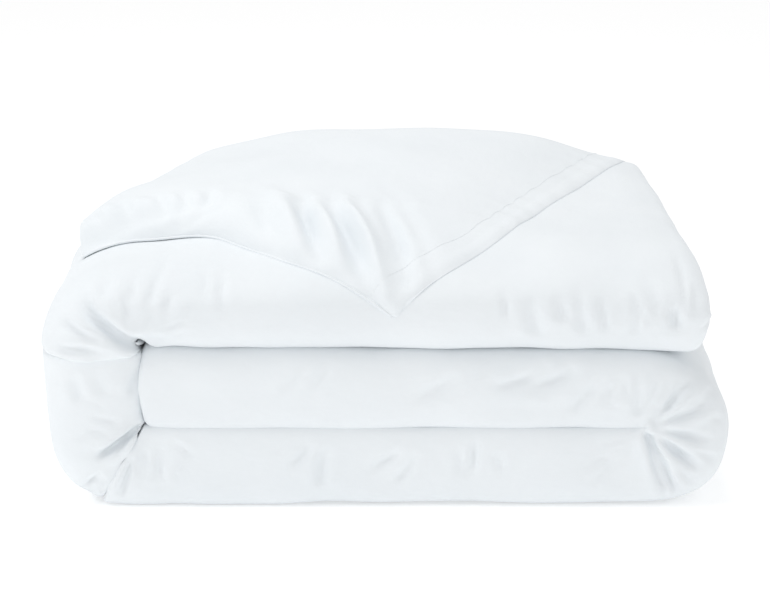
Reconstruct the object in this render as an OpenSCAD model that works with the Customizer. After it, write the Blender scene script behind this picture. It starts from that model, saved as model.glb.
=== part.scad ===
// Folded duvet in its cover: a puffy strip folded into thirds, with one corner of the top ply turned down.
// +X runs along the pile, +Y from its front to its back, +Z up. The origin is on the floor under its middle.

/* [Pile] */
// Overall width of the folded pile
pile_w = 720; // [680:5:760]
// Depth of the folded layers from front roll to back edge
pile_d = 540; // [500:5:580]

/* [Layers] */
// Thickness of the bottom layer
bottom_t = 77; // [70:1:84]
// Thickness of the middle layer
middle_t = 90; // [84:1:96]
// Thickness of the top layer, without the flap
top_t = 100; // [94:1:106]
// Thickness of the side that wraps up the left end
side_t = 96; // [88:1:100]

/* [Corner flap] */
// Thickness of the turned-down ply on top
flap_t = 42; // [38:1:46]
// How far the flap stands out in front of the top layer
flap_front_t = 30; // [24:1:34]
// Height of the flap's hanging tip above the floor
tip_z = 198; // [192:1:210]
// Where the flap's straight edge crosses the front of the pile, right of the middle
edge_front_x = 85; // [70:1:110]
// Width of the flat hem on the opening edge
hem_w = 32; // [24:1:40]

/* [Fabric] */
// Thickness of the cotton cover
cover_t = 1; // [0.8:0.1:1.4]
// Thickness of the insert's casing
casing_t = 1; // [0.8:0.1:1.4]
// Slack between cover, casing and neighbouring layers
gap = 0.5; // [0.4:0.1:0.8]

/* [Hidden] */
LAYERS = ["bottom_layer", "middle_layer", "left_side", "top_layer"];
FOLDS = ["right_fold", "lower_left_fold", "upper_left_fold", "flap_fold", "flap_left_end"];
PLIES = ["cover", "casing", "filling"];

white = [0.93, 0.95, 0.97];
ticking = [0.90, 0.90, 0.88];
down = [0.97, 0.97, 0.95];
arc_steps = 6;
fold_step = 22.5;

// Where the layers and the pivots of the folds lie
edge_back_x = 306;
casing_inset = 10;
seam_t = 3;
seam_w = 9;
front_y = -(pile_d + seam_w - flap_front_t) / 2;
back_y = front_y + pile_d;
left_x = -pile_w / 2;
pivot_x = left_x + side_t;
right_r = (bottom_t + middle_t) / 2;
right_x = pile_w / 2 - right_r;
top_z = bottom_t + middle_t + top_t;
lower_pivot_z = side_t;
upper_pivot_z = top_z - side_t;
middle_end_x = pivot_x + 8;
top_end_x = pile_w / 2 - 24;
flap_pivot_y = back_y - flap_t - gap;
flap_pivot_z = top_z + gap;

// The flap's front face below the belly, and how deep its cover lies there
flap_face_y = front_y - gap - flap_front_t;
cover_face = cover_t * flap_front_t / flap_t;

// The widest point of the top layer's front, and how far it rounds back above and below it
belly_z = bottom_t + middle_t + top_t / 2;
belly_back = 150;
belly_under = 40;

// Inset of each ply's outer and inner surface from the layer's outside
function ply_outer(ply) =
    ply == "cover" ? 0 : ply == "casing" ? cover_t + gap : cover_t + casing_t + 2 * gap;
function ply_inner(ply) = ply_outer(ply) + (ply == "cover" ? cover_t : casing_t);
function ply_colour(ply) = ply == "cover" ? white : ply == "casing" ? ticking : down;

function arc(centre, radii, from, to, steps = arc_steps) = [
    for (i = [0:steps])
        let (a = from + (to - from) * i / steps)
        [centre[0] + radii[0] * cos(a), centre[1] + radii[1] * sin(a)]
];

// A layer's outline across its depth: flat above and below, and round at the front and back
function roll_outline(t, inset) =
    let (r = t / 2 - inset, z = t / 2)
    concat(
        arc([front_y + t / 2, z], [r, r], 270, 90),
        arc([back_y - t / 2, z], [r, r], 90, -90)
    );

// The top layer's outline, with a front that leans back and a back edge short of the flap's fold
function top_outline(inset) =
    let (
        low_z = bottom_t + middle_t + gap,
        end_y = flap_pivot_y - gap,
        up = top_z - belly_z,
        down_by = belly_z - low_z
    )
    concat(
        arc([front_y + belly_under, belly_z], [belly_under - inset, down_by - inset], 270, 180),
        arc([front_y + belly_back, belly_z], [belly_back - inset, up - inset], 180, 90),
        arc([end_y - 60, belly_z], [60 - inset, up - inset], 90, 0),
        arc([end_y - 60, belly_z], [60 - inset, down_by - inset], 0, -90)
    );

module along_x(from, to) {
    translate([from, 0, 0])
        rotate([90, 0, 90])
            linear_extrude(to - from)
                children();
}

// One ply of a straight layer: a tube for cover and casing, a solid for filling
module layer_ply(ply, from, to, z, t) {
    translate([0, 0, z])
        along_x(from, to)
            difference() {
                polygon(roll_outline(t, ply_outer(ply)));
                if (ply != "filling") polygon(roll_outline(t, ply_inner(ply)));
            }
}

// The points of one ring of a fold: the outline stood on a line that turns about the pivot
function ring(pivot, angle, start_r, outline) = [
    for (p = outline)
        let (r = start_r + p[1])
        [pivot[0] + r * cos(angle), p[0], pivot[1] + r * sin(angle)]
];

// A ply turned about a pivot that runs along Y, from thickness t0 to t1 at a constant or growing outer radius
module fold_ply(ply, pivot, from, to, t0, t1, r0, r1) {
    steps = round(abs(to - from) / fold_step);
    outer = [
        for (i = [0:steps])
            let (s = i / steps, t = t0 + (t1 - t0) * s, r = r0 + (r1 - r0) * s)
            ring(pivot, from + (to - from) * s, r - t, roll_outline(t, ply_outer(ply)))
    ];
    inner = [
        for (i = [0:steps])
            let (s = i / steps, t = t0 + (t1 - t0) * s, r = r0 + (r1 - r0) * s)
            ring(pivot, from + (to - from) * s, r - t, roll_outline(t, ply_inner(ply)))
    ];
    if (ply == "filling") solid_sweep(outer);
    else tube_sweep(outer, inner);
}

module solid_sweep(rings) {
    n = len(rings[0]);
    last = len(rings) - 1;
    polyhedron(
        [for (r = rings) for (p = r) p],
        concat(
            [[for (j = [0:n - 1]) j]],
            [[for (j = [n - 1:-1:0]) last * n + j]],
            [for (i = [0:last - 1]) for (j = [0:n - 1])
                [i * n + j, (i + 1) * n + j, (i + 1) * n + (j + 1) % n, i * n + (j + 1) % n]]
        )
    );
}

module tube_sweep(outer, inner) {
    n = len(outer[0]);
    last = len(outer) - 1;
    in0 = n * (last + 1);
    polyhedron(
        concat([for (r = outer) for (p = r) p], [for (r = inner) for (p = r) p]),
        concat(
            [for (i = [0:last - 1]) for (j = [0:n - 1])
                [i * n + j, (i + 1) * n + j, (i + 1) * n + (j + 1) % n, i * n + (j + 1) % n]],
            [for (i = [0:last - 1]) for (j = [0:n - 1])
                [in0 + i * n + j, in0 + i * n + (j + 1) % n,
                    in0 + (i + 1) * n + (j + 1) % n, in0 + (i + 1) * n + j]],
            [for (j = [0:n - 1]) [j, (j + 1) % n, in0 + (j + 1) % n, in0 + j]],
            [for (j = [0:n - 1])
                [last * n + j, in0 + last * n + j,
                    in0 + last * n + (j + 1) % n, last * n + (j + 1) % n]]
        )
    );
}

module bottom_layer(ply) layer_ply(ply, pivot_x, right_x, 0, bottom_t);

module middle_layer(ply) layer_ply(ply, middle_end_x, right_x, bottom_t, middle_t);

module left_side(ply) {
    translate([left_x + side_t / 2, 0, lower_pivot_z])
        linear_extrude(upper_pivot_z - lower_pivot_z)
            translate([-side_t / 2, 0])
                mirror([1, -1])
                    difference() {
                        polygon(roll_outline(side_t - gap, ply_outer(ply)));
                        if (ply != "filling") polygon(roll_outline(side_t - gap, ply_inner(ply)));
                    }
}

module top_layer(ply) {
    along_x(pivot_x + gap, top_end_x)
        difference() {
            polygon(top_outline(ply_outer(ply)));
            if (ply != "filling") polygon(top_outline(ply_inner(ply)));
        }
}

module right_fold(ply)
    fold_ply(ply, [right_x, bottom_t], -90, 90, bottom_t - gap, middle_t - gap, bottom_t, middle_t);

module lower_left_fold(ply)
    fold_ply(ply, [pivot_x, lower_pivot_z], 180, 270, side_t - gap, bottom_t - gap, side_t, side_t);

module upper_left_fold(ply)
    fold_ply(ply, [pivot_x, upper_pivot_z], 90, 180, side_t - gap, side_t - gap, side_t, side_t);

// The flap's section across the pile: it follows the top layer's front, then lies flat to its fold at the back
function flap_outline(low, high) =
    let (
        y_low = front_y + belly_back,
        rise = top_z - belly_z + gap,
        skirt_z = tip_z - 4,
        lean = flap_front_t / flap_t
    )
    concat(
        [[front_y - gap - low * lean, skirt_z]],
        arc([y_low, belly_z], [belly_back + gap + low * lean, rise + low], 180, 90),
        [[flap_pivot_y, flap_pivot_z + low]],
        [[flap_pivot_y, flap_pivot_z + high]],
        arc([y_low, belly_z], [belly_back + gap + high * lean, rise + high], 90, 180),
        [[front_y - gap - high * lean, skirt_z]]
    );

// The turned-down corner seen from the front, and its two edges seen from above, moved in by inset
module flap_cut(inset) {
    intersection() {
        translate([0, back_y + 10, 0])
            rotate([90, 0, 0])
                linear_extrude(pile_d + 80)
                    polygon([
                        [pivot_x, 400], [pivot_x, top_z - 2], [-150, top_z - 20 + inset],
                        [4, tip_z + 1.5 * inset], [edge_front_x + 10 - inset, top_z - 2], [pile_w / 2, top_z - 2],
                        [pile_w / 2, 400]
                    ]);
        linear_extrude(400)
            polygon([
                [pivot_x, back_y], [pivot_x, front_y + 130 + inset], [-150 + inset, front_y],
                [-150 + inset, front_y - 60], [edge_front_x - inset, front_y - 60],
                [edge_front_x - inset, front_y + 15], [edge_back_x - 1.2 * inset, flap_pivot_y],
                [edge_back_x - 1.2 * inset, back_y]
            ]);
    }
}

module flap_sheet(low, high, inset) {
    intersection() {
        along_x(pivot_x, pile_w / 2) polygon(flap_outline(low, high));
        flap_cut(inset);
    }
}

module flap_upper_panel() flap_sheet(flap_t - cover_t, flap_t, 0);

module flap_lower_panel() flap_sheet(0, cover_t, 0);

module flap_casing() {
    low = cover_t + gap;
    high = flap_t - cover_t - gap;
    flap_sheet(low, low + casing_t, casing_inset);
    flap_sheet(high - casing_t, high, casing_inset);
}

module flap_filling() {
    lining = cover_t + casing_t + 2 * gap;
    flap_sheet(lining, flap_t - lining, casing_inset);
}

// The roll at the back, where the top ply turns over into the flap
module flap_fold(ply) {
    r = flap_t - ply_outer(ply);
    hole = ply == "filling" ? ply_outer(ply) : flap_t - ply_inner(ply);
    along_x(pivot_x, edge_back_x)
        translate([flap_pivot_y, flap_pivot_z])
            intersection() {
                difference() {
                    circle(r, $fn = 64);
                    circle(hole, $fn = 64);
                }
                polygon([[gap, -50], [60, -50], [60, 60], [gap, 60]]);
            }
}

// The flap's soft end that hangs over the left fold
module flap_left_end(ply) {
    r_in = side_t + gap + (ply == "filling" ? ply_outer(ply) : flap_t - ply_inner(ply));
    r_out = side_t + gap + flap_t - ply_outer(ply);
    translate([pivot_x, flap_pivot_y, upper_pivot_z])
        rotate([90, 0, 0])
            linear_extrude(flap_pivot_y - front_y - 130)
                difference() {
                    intersection() {
                        circle(r_out, $fn = 96);
                        polygon([[-gap, 60], [-gap, 160], [-90, 160], [-90, 60]]);
                    }
                    circle(r_in, $fn = 96);
                }
}

// Two flat plies side by side with the flap's edge, from the tip to the back
module hem_ply(low) {
    difference() {
        intersection() {
            along_x(pivot_x, pile_w / 2) polygon(flap_outline(low, low + cover_t));
            hem_reach(hem_w);
        }
        hem_reach(gap);
    }
}

module hem_reach(w) {
    linear_extrude(400)
        polygon([
            [0, flap_pivot_y], [0, front_y + 15], [edge_front_x, front_y + 15], [edge_back_x, flap_pivot_y]
        ] + [[0, 0], [0, 0], [w, 0], [w, 0]]);
}

module hem_upper_ply() {
    difference() {
        hem_ply(14);
        at_buttons() cube([16, 1.4, 10], center = true);
    }
}

module hem_lower_ply() hem_ply(10);

// Places the closure's buttons and buttonholes along the hem, from near the tip to the back
module at_buttons() {
    for (s = [0.35, 0.62, 0.89])
        translate([
            edge_front_x + hem_w / 2 + (edge_back_x - edge_front_x) * s,
            front_y + 15 + (flap_pivot_y - front_y - 15) * s,
            flap_pivot_z + 12.4
        ])
            children();
}

// Flat four-hole buttons between the hem plies
module hem_buttons() {
    at_buttons()
        difference() {
            cylinder(r = 6.5, h = 2.4, center = true, $fn = 48);
            for (a = [45:90:315])
                rotate(a) translate([1.8, 0, 0]) cylinder(r = 0.7, h = 5, center = true, $fn = 24);
        }
}

// The sewn edge of the flap's other side
module flap_side_seam() {
    intersection() {
        along_x(pivot_x, pile_w / 2) polygon(flap_outline(6, 6 + seam_t));
        difference() {
            side_reach(seam_w);
            side_reach(gap);
        }
    }
}

module side_reach(w) {
    linear_extrude(400)
        polygon([
            [pivot_x, flap_pivot_y], [pivot_x, front_y + 130], [-175, front_y + 26], [-175, flap_pivot_y]
        ] + [[0, 0], [0, -w], [0, -w], [0, 0]]);
}

// A flat sewn edge that stands out from the back of a layer
module back_seam(from, to, y, z) {
    along_x(from, to) translate([y + gap, z - seam_t / 2]) square([seam_w, seam_t]);
}

module bottom_back_seam() back_seam(pivot_x, right_x, back_y, bottom_t / 2);

module middle_back_seam() back_seam(middle_end_x, right_x, back_y, bottom_t + middle_t / 2);

module top_back_seam() back_seam(pivot_x + gap, top_end_x, flap_pivot_y - gap, belly_z);

// A cotton tape sewn inside the tip of the cover, tied through a loop on the insert's corner
module corner_tie() {
    translate([6, flap_face_y + cover_face, tip_z + 7]) cube([4, 5, 1.2]);
}

module corner_loop() {
    translate([4, flap_face_y + cover_face + gap, tip_z + 2])
        difference() {
            cube([8, casing_t, 13]);
            translate([1.5, -1, 1.5]) cube([5, 3, 8]);
        }
}

// A blank care label sewn into the back seam
module care_label() {
    translate([right_x - 60, back_y + gap, bottom_t + middle_t / 2 - seam_t / 2 - 22])
        cube([30, 0.8, 20]);
}

module ply_of(region, ply) {
    color(ply_colour(ply)) {
        if (region == "bottom_layer") bottom_layer(ply);
        if (region == "middle_layer") middle_layer(ply);
        if (region == "left_side") left_side(ply);
        if (region == "top_layer") top_layer(ply);
        if (region == "right_fold") right_fold(ply);
        if (region == "lower_left_fold") lower_left_fold(ply);
        if (region == "upper_left_fold") upper_left_fold(ply);
        if (region == "flap_fold") flap_fold(ply);
        if (region == "flap_left_end") flap_left_end(ply);
    }
}

for (region = concat(LAYERS, FOLDS))
    for (ply = PLIES)
        ply_of(region, ply);
color(white) flap_upper_panel();
color(white) flap_lower_panel();
color(ticking) flap_casing();
color(down) flap_filling();
color(white) hem_upper_ply();
color(white) hem_lower_ply();
color("ivory") hem_buttons();
color(white) flap_side_seam();
color(white) bottom_back_seam();
color(white) middle_back_seam();
color(white) top_back_seam();
color(white) corner_tie();
color(ticking) corner_loop();
color("white") care_label();
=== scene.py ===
# %% [markdown]
# ## A folded duvet in its cover
#
# A white duvet is folded lengthwise, then over itself into a pile, and one corner of its top ply is
# turned down over the front. Everything here is cloth round a soft filling, so each part is shaped as
# a stuffed bag first and then creased where a hand would have creased it.

import math

import bpy
import numpy as np
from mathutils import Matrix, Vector
from mathutils.bvhtree import BVHTree


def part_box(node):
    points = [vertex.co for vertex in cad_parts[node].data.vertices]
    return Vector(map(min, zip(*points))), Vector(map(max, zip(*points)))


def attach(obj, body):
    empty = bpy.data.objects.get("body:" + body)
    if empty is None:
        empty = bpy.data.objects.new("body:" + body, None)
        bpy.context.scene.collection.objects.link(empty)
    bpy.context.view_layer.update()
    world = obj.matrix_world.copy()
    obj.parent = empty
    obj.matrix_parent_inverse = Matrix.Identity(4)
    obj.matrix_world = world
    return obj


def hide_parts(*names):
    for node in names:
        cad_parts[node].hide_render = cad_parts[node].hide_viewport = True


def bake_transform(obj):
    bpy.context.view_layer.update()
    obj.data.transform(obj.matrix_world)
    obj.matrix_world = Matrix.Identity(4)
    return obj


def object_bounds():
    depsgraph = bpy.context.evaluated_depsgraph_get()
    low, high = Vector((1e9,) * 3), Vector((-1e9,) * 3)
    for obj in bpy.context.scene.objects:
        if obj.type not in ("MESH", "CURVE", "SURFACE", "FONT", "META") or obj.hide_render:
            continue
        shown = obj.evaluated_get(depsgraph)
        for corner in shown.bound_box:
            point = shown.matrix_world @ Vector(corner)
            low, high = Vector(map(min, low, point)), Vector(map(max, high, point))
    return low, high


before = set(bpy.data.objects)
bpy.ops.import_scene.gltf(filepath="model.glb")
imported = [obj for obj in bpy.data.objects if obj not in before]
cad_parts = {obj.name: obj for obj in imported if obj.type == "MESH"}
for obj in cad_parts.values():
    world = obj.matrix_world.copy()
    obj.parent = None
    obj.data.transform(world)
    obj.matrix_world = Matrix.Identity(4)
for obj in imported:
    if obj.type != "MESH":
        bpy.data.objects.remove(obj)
cad_low, cad_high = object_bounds()
scene = bpy.context.scene
print("frame", [round(v, 3) for v in cad_low], [round(v, 3) for v in cad_high])

# %% [markdown]
# ### Where the layers lie
#
# The pile is built from the bottom up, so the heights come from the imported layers: the bottom layer,
# the middle one and the top one. All of them share the same rounded front and the same back. Cloth
# folds about a hub at the inner corner of each fold, a little inside the ends of the flat layers.

# %% Layer heights
bottom_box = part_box("bottom_layer_cover")
middle_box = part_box("middle_layer_cover")
top_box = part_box("top_layer_cover")
FRONT = bottom_box[0][1]
BACK = bottom_box[1][1]
SIDE = cad_high[0]
Z_LOW = bottom_box[1][2]
Z_MID = middle_box[1][2]
Z_TOP = top_box[1][2]
HUB_IN = 0.012
LAP = 0.006
LEFT = bottom_box[0][0] + HUB_IN
RIGHT = bottom_box[1][0] - HUB_IN
HUB_R = (RIGHT, Z_LOW + 0.010)
HUB_L = (LEFT, Z_LOW + 0.011)
HUB_U = (LEFT, Z_MID + 0.004)
print("front", round(FRONT, 3), "back", round(BACK, 3), "layer tops", np.round((Z_LOW, Z_MID, Z_TOP), 3))
print("folds turn about", np.round(HUB_R, 3), np.round(HUB_L, 3), np.round(HUB_U, 3))

# %% [markdown]
# ### Tools for shaping cloth
#
# A duvet layer is a long bag. It is swept here along its fold line: each station has a point on the
# inside of the fold and one on the outside, and a soft cross-section stands between the two.

# %% Sweeping a stuffed bag along a fold line
FRONT_ROLL = 28
FLAT = 40
BACK_MIDDLE = FRONT_ROLL + FLAT
BACK_ROUND = 0.09
STEP = 0.0071


def even_stations(stations, step, rounds=3):
    """Stations (inner x, inner z, outer x, outer z) spread evenly along the fold line, corners eased."""
    given = np.array(stations, float)
    line = 0.25 * given[:, :2] + 0.75 * given[:, 2:]
    along = np.r_[0, np.cumsum(np.linalg.norm(np.diff(line, axis=0), axis=1))]
    count = int(along[-1] / step)
    spread = np.linspace(0, along[-1], count + 1)
    dense = np.column_stack([np.interp(spread, along, given[:, k]) for k in range(4)])
    for _ in range(rounds):
        dense[1:-1] = 0.25 * dense[:-2] + 0.5 * dense[1:-1] + 0.25 * dense[2:]
    return dense, spread


def bag_section(outer_round, inner_round, back_round, power):
    """A closed outline of (share of depth, share of thickness), from the middle of the front round."""
    turn = np.linspace(0, math.pi / 2, FRONT_ROLL // 2 + 1)
    ease_w = 0.5 * np.sin(turn) ** (2 / power)
    halves = []
    for front_round in (outer_round, inner_round):
        ease_y = 1 - np.cos(turn) ** (2 / power)
        front = np.column_stack([ease_y * front_round, ease_w])
        flat = np.column_stack([np.linspace(front_round, 1 - back_round, FLAT + 1), np.full(FLAT + 1, 0.5)])
        back = np.column_stack([1 - ease_y[::-1] * back_round, ease_w[::-1]])
        halves.append(np.vstack([front, flat[1:], back[1:]]))
    outer, inner = halves
    inner = inner[-2:0:-1] * (1, -1)
    return np.vstack([outer, inner]) + (0, 0.5)


def new_piece(name, points, faces):
    mesh = bpy.data.meshes.new(name)
    mesh.from_pydata(np.asarray(points).tolist(), [], faces)
    mesh.update()
    piece = bpy.data.objects.new(name, mesh)
    scene.collection.objects.link(piece)
    return piece


def lay_cloth(piece, uv):
    """Gives every corner of every face its place on the flat cloth, in metres, for the weave to follow."""
    layer = piece.data.uv_layers.new(name="cloth")
    layer.data.foreach_set("uv", uv.astype(np.float32).ravel())


def sweep_bag(name, stations, step, cap, blunts, rounds, inner_round=0.07, power=2.4, y_range=None):
    """A closed bag of quads along the stations. Its ends round off over cap, down to the share in blunts.
    rounds gives the outer front rounding, as a share of the depth, at even places along the bag."""
    dense, spread = even_stations(stations, step)
    y_low, y_high = y_range or (FRONT, BACK)
    rows = []
    for (ix, iz, ox, oz), s in zip(dense, spread):
        outer_round = np.interp(s / spread[-1], np.linspace(0, 1, len(rounds)), rounds)
        section = bag_section(outer_round, inner_round, BACK_ROUND, power)
        left = min(s / cap[0], 1)
        right = min((spread[-1] - s) / cap[1], 1)
        end, blunt = (left, blunts[0]) if left < right else (right, blunts[1])
        swell = max((1 - (1 - end) ** 3) ** (1 / 3), blunt)
        w = 0.5 + (section[:, 1] - 0.5) * swell
        shy = 0.5 + (section[:, 0] - 0.5) * (0.955 + 0.045 * swell)
        y = y_low + (y_high - y_low) * shy
        rows.append(np.column_stack([ix + (ox - ix) * w, y, iz + (oz - iz) * w]))
    points = np.vstack(rows)
    count = len(section)
    faces = []
    for i in range(len(rows) - 1):
        for j in range(count):
            k = (j + 1) % count
            faces.append((i * count + j, i * count + k, (i + 1) * count + k, (i + 1) * count + j))
    for base, flip in ((0, True), ((len(rows) - 1) * count, False)):
        for j in range(count // 2):
            a, b = base + j, base + j + 1
            c, d = base + (count - j - 1) % count, base + (count - j) % count
            loop = tuple(dict.fromkeys((a, b, c, d)))
            faces.append(loop[::-1] if flip else loop)
    piece = new_piece(name, points, faces)
    ring = np.diff(np.vstack([section, section[:1]]), axis=0) * (y_high - y_low, 0.09)
    girth = np.r_[0, np.cumsum(np.hypot(*ring.T))]
    corner = [(i, k) for i in range(len(rows) - 1) for j in range(count) for k in (j, j + 1, j + 1, j)]
    uv = [(spread[i + (n % 4 > 1)], girth[k]) for n, (i, k) in enumerate(corner)]
    caps = [loop.vertex_index for loop in piece.data.loops[len(uv):]]
    uv += [(points[v][1], points[v][2]) for v in caps]
    lay_cloth(piece, np.array(uv))
    return piece


def points_of(piece):
    flat = np.empty(len(piece.data.vertices) * 3, np.float32)
    piece.data.vertices.foreach_get("co", flat)
    return flat.reshape(-1, 3).astype(float)


def normals_of(piece):
    flat = np.empty(len(piece.data.vertices) * 3, np.float32)
    piece.data.vertices.foreach_get("normal", flat)
    return flat.reshape(-1, 3).astype(float)


def set_points(piece, points):
    piece.data.vertices.foreach_set("co", points.astype(np.float32).ravel())
    piece.data.update()


def face_outwards(piece):
    """Turns the piece's faces outwards if its volume comes out negative."""
    points = points_of(piece)
    total = 0.0
    for face in piece.data.polygons:
        v = points[list(face.vertices)]
        for k in range(1, len(v) - 1):
            total += float(np.dot(v[0], np.cross(v[k], v[k + 1])))
    if total < 0:
        piece.data.flip_normals()
    return piece


# %% [markdown]
# ### Creases, folds and the natural unevenness of filling
#
# A crease is a valley with a raised lip on each side, because cotton pushed into a valley has to go
# somewhere. Filling is never even, so a slow random swell goes over everything.

# %% Creases and swell
def soft_step(share):
    """Eases a share from 0 to 1, level at both ends."""
    share = np.clip(share, 0, 1)
    return share * share * (3 - 2 * share)


def ease(value, start, end):
    """0 before start, 1 past end, and a soft step between."""
    return soft_step((value - start) / (end - start))


def smooth_noise(points, size, seed):
    """Slow random field from a few sine waves, about -1 to 1."""
    mix = np.random.default_rng(seed)
    total = np.zeros(len(points))
    for _ in range(9):
        way = mix.normal(size=3)
        way /= np.linalg.norm(way)
        total += np.sin(points @ way * 2 * math.pi / (size * mix.uniform(0.7, 1.5)) + mix.uniform(0, 6.28))
    return total / 4.0


def distance_to(points, line):
    """Distance of each point to a broken line, and where along it (0 to 1) the nearest spot is."""
    line = np.array(line, float)
    lengths = np.linalg.norm(np.diff(line, axis=0), axis=1)
    starts = np.r_[0, np.cumsum(lengths)]
    best = np.full(len(points), 1e9)
    where = np.zeros(len(points))
    for k in range(len(line) - 1):
        d = line[k + 1] - line[k]
        t = np.clip(((points - line[k]) @ d) / (d @ d), 0, 1)
        gap = np.linalg.norm(points - line[k] - t[:, None] * d, axis=1)
        nearer = gap < best
        best[nearer] = gap[nearer]
        where[nearer] = (starts[k] + t[nearer] * lengths[k]) / starts[-1]
    return best, where


def fade(where, start, end, reach=0.3):
    """1 in the middle of a crease, easing to start and end at its two ends."""
    rise = soft_step(where / reach)
    fall = soft_step((1 - where) / 0.3)
    return (start + (1 - start) * rise) * (end + (1 - end) * fall)


def crease_depth(flat_points, line, width, depth, lip=0.35, start=0.0, end=0.0, reach=0.3):
    """How far each point sinks below the surface, in metres, for one crease."""
    gap, where = distance_to(flat_points, line)
    valley = np.exp(-((gap / width) ** 2))
    lips = np.exp(-(((gap - 2.0 * width) / (1.1 * width)) ** 2))
    return depth * fade(where, start, end, reach) * (valley - lip * lips)


def on_front(points, edge=-0.14):
    """1 on the front face, easing to 0 behind it."""
    return soft_step((edge - points[:, 1]) / 0.06)


# %% [markdown]
# ### Letting the cloth settle
#
# The cover is a little larger than the filling. It is allowed to grow by a few percent while a light
# pressure keeps it full, and the surplus buckles into the small wrinkles that cotton shows near folds.

# %% Settling a bag
def settle(piece, held, surplus, growth, pressure, frames, cap, bend=0.4):
    """Cloth run without gravity. held is the pinned share and surplus the share of growth at each point."""
    before = points_of(piece)
    pins = piece.vertex_groups.new(name="held")
    spare = piece.vertex_groups.new(name="surplus")
    for i, (h, g) in enumerate(zip(held, surplus)):
        if h > 0.01:
            pins.add([i], float(h), "REPLACE")
        spare.add([i], float(g), "REPLACE")
    modifier = piece.modifiers.new("Settle", "CLOTH")
    cloth = modifier.settings
    cloth.quality = 6
    cloth.mass = 0.25
    cloth.tension_stiffness = 20
    cloth.compression_stiffness = 20
    cloth.shear_stiffness = 8
    cloth.bending_stiffness = bend
    cloth.tension_damping = 15
    cloth.compression_damping = 15
    cloth.shear_damping = 15
    cloth.bending_damping = 2
    cloth.air_damping = 4
    cloth.use_pressure = True
    cloth.uniform_pressure_force = pressure
    cloth.vertex_group_mass = "held"
    cloth.pin_stiffness = 2
    cloth.vertex_group_shrink = "surplus"
    cloth.shrink_min = 0.0
    cloth.shrink_max = -growth
    cloth.effector_weights.gravity = 0
    modifier.collision_settings.use_collision = False
    modifier.point_cache.frame_start = 1
    modifier.point_cache.frame_end = frames
    for frame_number in range(1, frames + 1):
        scene.frame_set(frame_number)
    shaped = piece.evaluated_get(bpy.context.evaluated_depsgraph_get())
    flat = np.empty(len(before) * 3, np.float32)
    shaped.data.vertices.foreach_get("co", flat)
    after = flat.reshape(-1, 3).astype(float)
    piece.modifiers.remove(modifier)
    scene.frame_set(1)
    moved = after - before
    size = np.linalg.norm(moved, axis=1)
    moved *= (np.minimum(size, cap) / np.maximum(size, 1e-9))[:, None]
    set_points(piece, before + moved)
    print(piece.name, "settled, moved up to", round(float(size.max()) * 1000, 1), "mm")
    return piece


def soften(piece):
    """One subdivision, which rounds the quads into cloth."""
    modifier = piece.modifiers.new("Fine", "SUBSURF")
    modifier.levels = 1
    modifier.render_levels = 1
    with bpy.context.temp_override(object=piece, active_object=piece):
        bpy.ops.object.modifier_apply(modifier=modifier.name)
    piece.data.shade_smooth()
    return piece


# %% [markdown]
# ### The lower layers
#
# One long bag makes the middle layer, the right-hand fold and the bottom layer. The right end bulges,
# and the bag ends at the slanting crease of the lower left corner, where the wrap starts.

# %% Lower bag
def oval(hub, reach, rise, turn_from, turn_to, square):
    """Stations round a hub. Their outer points follow a rounded square, reach wide and rise high, whose
    corners are fuller the larger square is. Turns are in degrees, from the right and upwards."""
    stations = []
    for turn in np.radians(np.linspace(turn_from, turn_to, 9)):
        across, up = math.cos(turn), math.sin(turn)
        x = hub[0] + reach * math.copysign(abs(across) ** (2 / square), across)
        z = hub[1] + rise * math.copysign(abs(up) ** (2 / square), up)
        stations.append((*hub, x, z))
    return stations


RIGHT_REACH = SIDE - RIGHT - 0.003
LEFT_REACH = SIDE + LEFT - 0.002
lower_line = [
    (LEFT - 0.003, Z_LOW + LAP, LEFT - 0.003, Z_MID + LAP),
    (0, Z_LOW + LAP, 0, Z_MID + LAP),
    (RIGHT - 0.010, Z_LOW + LAP, RIGHT - 0.010, Z_MID + 0.002),
    *oval(HUB_R, RIGHT_REACH, Z_MID - HUB_R[1], 82, 0, 1.7),
    *oval(HUB_R, RIGHT_REACH, HUB_R[1], -6, -80, 2.6),
    (RIGHT - 0.006, HUB_R[1], RIGHT - 0.006, 0),
    (LEFT + 0.010, HUB_L[1], LEFT, 0),
    (*HUB_L, LEFT - 0.050, 0.001),
]
lower = face_outwards(
    sweep_bag(
        "duvet_lower", lower_line, STEP, cap=(0.014, 0.006), blunts=(0.80, 0.975),
        rounds=(0.075, 0.075, 0.06, 0.04, 0.04), inner_round=0.032, power=2.9,
    )
)

wrap_line = [
    *oval(HUB_L, LEFT_REACH - 0.006, HUB_L[1], 253, 182, 2.8),
    (LEFT, HUB_L[1] + 0.015, LEFT - LEFT_REACH + 0.004, HUB_L[1] + 0.020),
    (LEFT, Z_MID + 0.001, LEFT - LEFT_REACH, Z_MID - 0.002),
]
wrap = face_outwards(
    sweep_bag(
        "left_wrap", wrap_line, STEP, cap=(0.006, 0.006), blunts=(0.975, 0.98),
        rounds=(0.05, 0.08, 0.10), inner_round=0.035,
    )
)
RING = 2 * BACK_MIDDLE
lower_rows = len(lower.data.vertices) // RING
wrap_rows = len(wrap.data.vertices) // RING
print("lower bag", lower_rows, "rows, wrap", wrap_rows, "rows of", RING, "points")

# %% [markdown]
# ### The top layer
#
# The next bag starts at the deep crease half way up the left end, wraps over the corner and lies
# across the pile. It is thickest in the middle and thins to the right, where its sewn corner pinches.

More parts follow.
